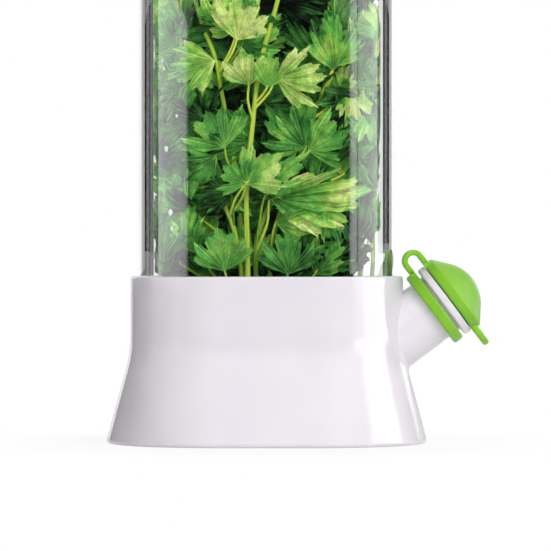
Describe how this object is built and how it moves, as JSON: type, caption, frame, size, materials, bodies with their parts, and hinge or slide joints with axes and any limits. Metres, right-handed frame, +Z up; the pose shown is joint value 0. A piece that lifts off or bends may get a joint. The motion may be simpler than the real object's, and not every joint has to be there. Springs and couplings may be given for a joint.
{
  "type": "herb keeper",
  "caption": "Upright keeper for fresh herbs: an oval water base with a plugged filling spout, a tall clear lift-off cover and a bunch of leaves standing inside.",
  "frame": {"origin": "on the ground, under the middle of the base's oval plan", "axes": "+Z up, +X along the oval's length towards the filling spout, +Y to the back"},
  "size_m": [0.1287, 0.0758, 0.245],
  "materials": {
    "white_plastic": "glossy moulded",
    "green_silicone": "smooth, soft sheen",
    "clear_plastic": "clear, polished",
    "fresh_leaves": "leafy, slightly waxy"
  },
  "bodies": {
    "base": {"base_shell": "white_plastic", "base_floor": "white_plastic", "plug_ring": "green_silicone", "plug_strap": "green_silicone", "herb_bunch": "fresh_leaves", "inner_sprigs": "fresh_leaves"},
    "cover": {"clear_cover": "clear_plastic"},
    "plug": {"plug_cap": "green_silicone"}
  },
  "joints": [
    {"name": "cover_lift", "type": "slide", "parent": "base", "child": "cover", "axis": [0, 0, 1], "range_m": [0, 0.19]},
    {"name": "plug_swing", "type": "hinge", "parent": "base", "child": "plug", "pos_m": [0.04933, 0, 0.06132], "axis": [0, -1, 0], "range_deg": [0, 110], "deforming": ["plug_strap"]}
  ]
}
